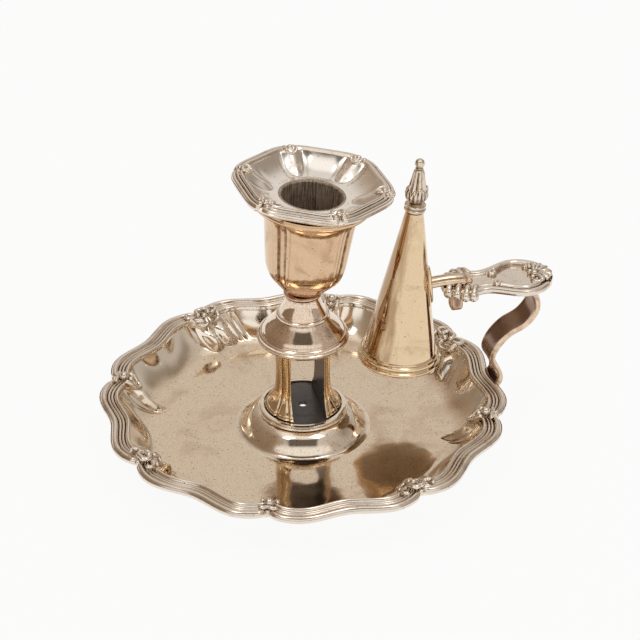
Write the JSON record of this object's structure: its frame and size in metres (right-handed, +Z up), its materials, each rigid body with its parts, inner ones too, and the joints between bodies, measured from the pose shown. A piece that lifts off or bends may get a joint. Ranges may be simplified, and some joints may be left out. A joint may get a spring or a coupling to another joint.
{
  "type": "chamberstick",
  "caption": "Lobed silver-plated tray with a slotted stem, candle socket, lift-out nozzle, scrolled handle and a conical extinguisher hung from the handle.",
  "frame": {"origin": "on the tabletop, under the middle of the stem", "axes": "+X towards the handle, +Z up, and the snuffer slot runs along Y"},
  "size_m": [0.1607, 0.1414, 0.1062],
  "materials": {
    "silver_plate": "polished, tarnished",
    "silver_border": "polished, worn",
    "worn_gilt": "worn to warm metal",
    "sooty_inside": "dull, sooty"
  },
  "bodies": {
    "stick": {"tray_dish": "silver_plate", "stem_foot": "silver_plate", "foot_ring": "silver_plate", "stem_flange": "silver_plate", "rim_reed_1": "silver_border", "rim_reed_2": "silver_border", "rim_reed_3": "silver_border", "rim_reed_4": "silver_border", "rim_reed_5": "silver_border", "rim_reed_6": "silver_border", "rim_reed_7": "silver_border", "rim_reed_8": "silver_border", "rim_shell_1": "silver_border", "rim_shell_2": "silver_border", "rim_shell_3": "silver_border", "rim_shell_4": "silver_border", "rim_leaf_1": "silver_border", "rim_leaf_2": "silver_border", "rim_leaf_3": "silver_border", "rim_leaf_4": "silver_border", "thumb_plate": "silver_border", "thumb_shell": "silver_border", "thumb_reed_inner_left": "silver_border", "thumb_reed_inner_right": "silver_border", "thumb_reed_outer_left": "silver_border", "thumb_reed_outer_right": "silver_border", "thumb_scroll_left": "silver_border", "thumb_scroll_right": "silver_border", "slot_cheek_left": "worn_gilt", "slot_cheek_right": "worn_gilt", "neck_collar": "worn_gilt", "socket_cup": "worn_gilt", "handle_strap": "worn_gilt", "slot_floor": "sooty_inside", "slot_roof": "sooty_inside"},
    "nozzle": {"nozzle_pan": "silver_border", "nozzle_tube": "sooty_inside", "nozzle_reed_1": "silver_border", "nozzle_reed_2": "silver_border", "nozzle_reed_3": "silver_border", "nozzle_reed_4": "silver_border", "nozzle_reed_5": "silver_border", "nozzle_reed_6": "silver_border", "nozzle_shell_1": "silver_border", "nozzle_shell_2": "silver_border", "nozzle_shell_3": "silver_border", "nozzle_shell_4": "silver_border", "nozzle_shell_5": "silver_border", "nozzle_shell_6": "silver_border"},
    "extinguisher": {"extinguisher_cone": "worn_gilt", "extinguisher_bead": "worn_gilt", "finial_collar": "worn_gilt", "finial_bud": "silver_plate", "finial_ball": "silver_plate", "hook_plate": "worn_gilt", "hook_bar": "worn_gilt"}
  },
  "joints": [
    {"name": "nozzle_lift", "type": "slide", "parent": "stick", "child": "nozzle", "axis": [0.0872, 0, 0.9962], "range_m": [0, 0.03]},
    {"name": "extinguisher_lift", "type": "slide", "parent": "stick", "child": "extinguisher", "axis": [0, 0, 1], "range_m": [0, 0.025]}
  ]
}
